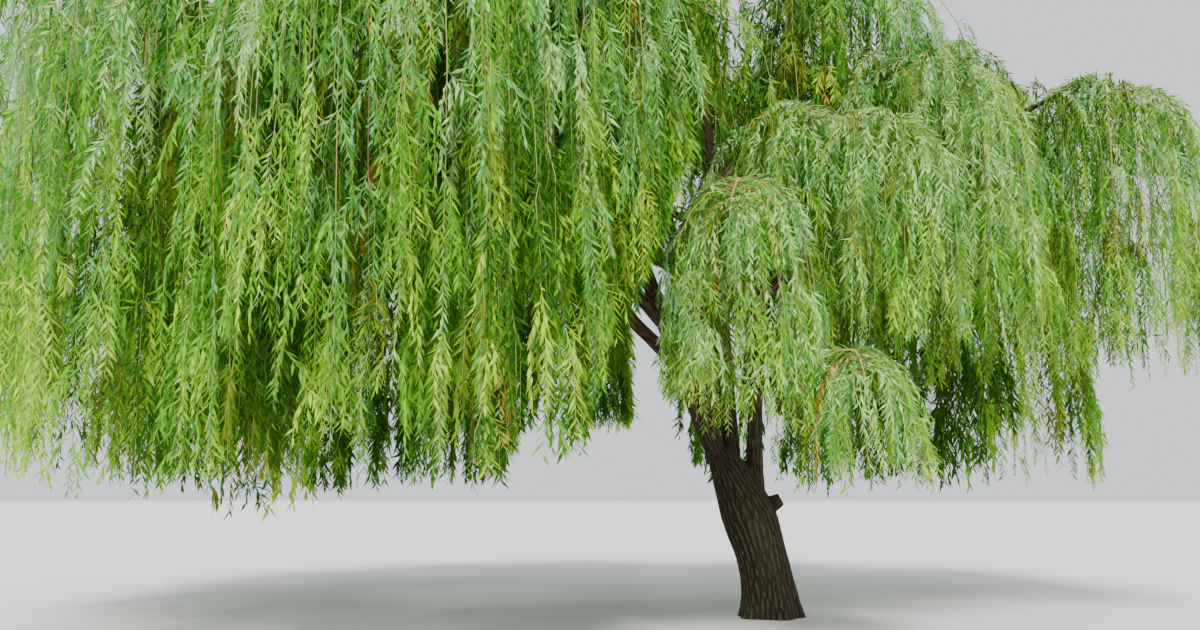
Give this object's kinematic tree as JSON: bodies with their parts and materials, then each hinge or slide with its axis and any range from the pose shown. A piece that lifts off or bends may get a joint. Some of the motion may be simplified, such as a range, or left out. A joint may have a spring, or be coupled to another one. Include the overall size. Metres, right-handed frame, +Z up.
{
  "type": "weeping willow tree",
  "caption": "Mature weeping willow with a short leaning trunk that forks low, arching boughs and long curtains of narrow leaves.",
  "frame": {"origin": "centre of the flat cut under the trunk, at ground level", "axes": "+Z up; the trunk leans towards -X; -Y faces the viewer of the picture"},
  "size_m": [15.9208, 14.3747, 10.9133],
  "materials": {
    "bark": "rough, furrowed",
    "limb_bark": "rough",
    "foliage": "satin",
    "silver_foliage": "satin"
  },
  "bodies": {
    "root": {"trunk": "bark", "stem_left": "limb_bark", "stem_middle": "limb_bark", "stem_right": "limb_bark", "bough_left_front": "limb_bark", "bough_front_left": "limb_bark", "bough_far_left": "limb_bark", "bough_left_back": "limb_bark", "bough_left_inner": "limb_bark", "bough_front_middle": "limb_bark", "bough_inner_front": "limb_bark", "bough_back_left": "limb_bark", "bough_back_middle": "limb_bark", "bough_back_inner": "limb_bark", "bough_upper_front": "limb_bark", "bough_upper_rear": "limb_bark", "bough_upper_back": "limb_bark", "bough_low_dome": "limb_bark", "bough_back_right": "limb_bark", "bough_trunk_dome": "limb_bark", "bough_right_back": "limb_bark", "bough_front_dome": "limb_bark", "bough_far_right": "limb_bark", "bough_middle_dome": "limb_bark", "bough_right_dome": "limb_bark", "bough_right_inner": "limb_bark", "foliage_upper_left": "silver_foliage", "foliage_top": "silver_foliage", "foliage_upper_right": "silver_foliage", "foliage_left_front": "foliage", "foliage_front_left": "foliage", "foliage_far_left": "foliage", "foliage_left_back": "foliage", "foliage_left_inner": "foliage", "foliage_front_middle": "foliage", "foliage_inner_front": "foliage", "foliage_back_left": "foliage", "foliage_back_middle": "foliage", "foliage_back_inner": "foliage", "foliage_upper_front": "foliage", "foliage_upper_rear": "foliage", "foliage_upper_back": "foliage", "foliage_low_dome": "foliage", "foliage_back_right": "foliage", "foliage_trunk_dome": "foliage", "foliage_right_back": "foliage", "foliage_front_dome": "foliage", "foliage_far_right": "foliage", "foliage_middle_dome": "foliage", "foliage_right_dome": "foliage", "foliage_right_inner": "foliage"}
  },
  "joints": []
}
